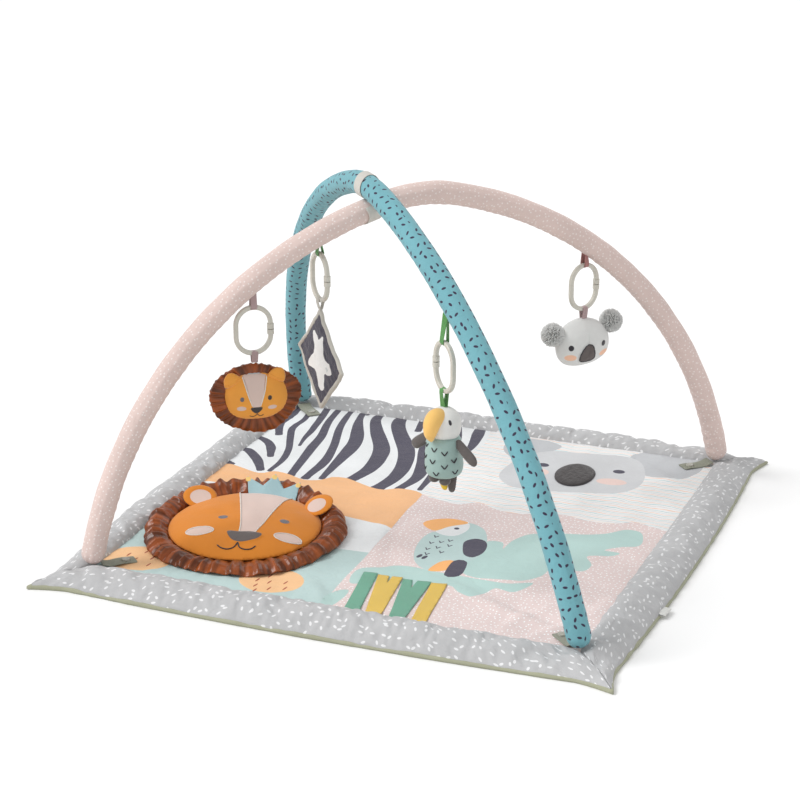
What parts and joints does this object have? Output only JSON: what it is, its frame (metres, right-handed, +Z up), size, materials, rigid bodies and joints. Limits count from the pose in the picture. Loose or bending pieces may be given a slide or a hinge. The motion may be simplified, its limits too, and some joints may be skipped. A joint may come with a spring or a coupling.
{
  "type": "activity play gym",
  "caption": "Padded square play mat with two crossed padded arches, hanging toys on plastic links and a loose tummy-time pillow.",
  "frame": {"origin": "on the floor, under the centre of the mat", "axes": "+Z up, front edge of the mat towards -Y, +X to the right"},
  "size_m": [0.9, 0.9, 0.5786],
  "materials": {
    "backing_cloth": "plain woven polyester, matt",
    "border_cloth": "printed cotton with short white dashes",
    "print_cloth": "printed polyester cloth",
    "wadding": "polyester wadding",
    "webbing": "narrow woven webbing",
    "stud_plastic": "translucent moulded",
    "green_ribbon": "grosgrain ribbon",
    "yellow_ribbon": "grosgrain ribbon",
    "dark_plush": "short plush",
    "tag_cloth": "woven tape, blank",
    "orange_velour": "velour",
    "brown_satin": "gathered satin",
    "grey_felt": "felt with yellow tips",
    "pink_sleeve_cloth": "printed cotton with small white dots",
    "blue_sleeve_cloth": "printed cotton with dark dashes",
    "foam": "closed cell foam",
    "rod_plastic": "glass fibre rod",
    "strap_webbing": "hook and loop webbing",
    "pink_ribbon": "twill tape",
    "leaf_ribbon": "twill tape",
    "greige_ribbon": "twill tape",
    "link_plastic": "satin moulded plastic",
    "slate_cloth": "printed cotton",
    "film": "crinkle film",
    "aqua_velour": "velour",
    "white_velour": "velour",
    "beak_velour": "velour",
    "grey_velour": "velour",
    "tail_velour": "velour, one yellow and one grey tongue",
    "rattle_plastic": "moulded plastic",
    "koala_plush": "short plush",
    "pompom_yarn": "tufted yarn"
  },
  "bodies": {
    "mat": {"backing_sheet": "backing_cloth", "centre_wadding": "wadding", "centre_panel": "print_cloth", "border_front": "border_cloth", "border_right": "border_cloth", "border_back": "border_cloth", "border_left": "border_cloth", "corner_webbing": "webbing", "press_studs": "stud_plastic", "green_ribbons": "green_ribbon", "yellow_ribbons": "yellow_ribbon", "plush_nose_patch": "dark_plush", "blank_tag": "tag_cloth"},
    "lion_pillow": {"pillow_base": "orange_velour", "pillow_cushion": "orange_velour", "pillow_mane": "brown_satin", "pillow_ears": "orange_velour", "pillow_crown": "grey_felt"},
    "pink_arch": {"pink_rod": "rod_plastic", "pink_foam": "foam", "pink_sleeve": "pink_sleeve_cloth", "pink_feet": "pink_sleeve_cloth", "strap_pink_half": "strap_webbing", "arch_loop_lion": "pink_ribbon", "arch_loop_pennant": "leaf_ribbon", "arch_loop_koala": "pink_ribbon"},
    "blue_arch": {"blue_rod": "rod_plastic", "blue_foam": "foam", "blue_sleeve": "blue_sleeve_cloth", "blue_feet": "blue_sleeve_cloth", "strap_blue_half": "strap_webbing", "arch_loop_toucan": "leaf_ribbon"},
    "link_of_lion": {"link_lion": "link_plastic"},
    "link_of_pennant": {"link_pennant": "link_plastic"},
    "link_of_koala": {"link_koala": "link_plastic"},
    "link_of_toucan": {"link_toucan": "link_plastic"},
    "lion_toy": {"lion_ribbon": "pink_ribbon", "lion_mane": "brown_satin", "lion_head": "orange_velour", "lion_ears": "orange_velour"},
    "pennant_toy": {"pennant_ribbon": "greige_ribbon", "pennant_binding": "greige_ribbon", "pennant_film": "film", "pennant_front": "slate_cloth", "pennant_back": "slate_cloth"},
    "toucan_toy": {"toucan_ribbon": "leaf_ribbon", "toucan_body": "aqua_velour", "toucan_rattle": "rattle_plastic", "toucan_head": "white_velour", "toucan_beak": "beak_velour", "toucan_wings": "grey_velour", "toucan_feet": "grey_velour", "toucan_tail": "tail_velour"},
    "koala_toy": {"koala_ribbon": "pink_ribbon", "koala_head": "koala_plush", "koala_squeaker": "rattle_plastic", "koala_ears": "pompom_yarn", "koala_nose": "dark_plush"}
  },
  "joints": [
    {"name": "pillow_lift", "type": "slide", "parent": "mat", "child": "lion_pillow", "axis": [0, 0, 1], "range_m": [0, 0.06]},
    {"name": "arches_lift", "type": "slide", "parent": "mat", "child": "pink_arch", "axis": [0, 0, 1], "range_m": [0, 0.1]},
    {"name": "blue_arch_fold", "type": "hinge", "parent": "pink_arch", "child": "blue_arch", "pos_m": [0, 0, 0.042], "axis": [0.7071, -0.7071, 0], "range_deg": [0, 45]},
    {"name": "lion_link_swing", "type": "hinge", "parent": "pink_arch", "child": "link_of_lion", "pos_m": [-0.19445, -0.19445, 0.3925], "axis": [0.766, 0.6428, 0], "range_deg": [-25, 25]},
    {"name": "lion_toy_swing", "type": "hinge", "parent": "link_of_lion", "child": "lion_toy", "pos_m": [-0.19445, -0.19445, 0.3215], "axis": [0.766, 0.6428, 0], "range_deg": [-20, 20]},
    {"name": "pennant_link_swing", "type": "hinge", "parent": "pink_arch", "child": "link_of_pennant", "pos_m": [-0.11879, -0.11879, 0.4625], "axis": [0.7431, -0.6691, 0], "range_deg": [-4, 25]},
    {"name": "pennant_toy_swing", "type": "hinge", "parent": "link_of_pennant", "child": "pennant_toy", "pos_m": [-0.11879, -0.11879, 0.3915], "axis": [0.7431, -0.6691, 0], "range_deg": [-6, 20]},
    {"name": "koala_link_swing", "type": "hinge", "parent": "pink_arch", "child": "link_of_koala", "pos_m": [0.19587, 0.19587, 0.3925], "axis": [0.5, 0.866, 0], "range_deg": [-25, 25]},
    {"name": "koala_toy_swing", "type": "hinge", "parent": "link_of_koala", "child": "koala_toy", "pos_m": [0.19587, 0.19587, 0.3215], "axis": [0.5, 0.866, 0], "range_deg": [-20, 20]},
    {"name": "toucan_link_swing", "type": "hinge", "parent": "blue_arch", "child": "link_of_toucan", "pos_m": [0.13081, -0.25102, 0.3955], "axis": [0.7431, -0.6691, 0], "range_deg": [-25, 25]},
    {"name": "toucan_toy_swing", "type": "hinge", "parent": "link_of_toucan", "child": "toucan_toy", "pos_m": [0.13081, -0.25102, 0.3245], "axis": [0.7431, -0.6691, 0], "range_deg": [-25, 25]}
  ]
}
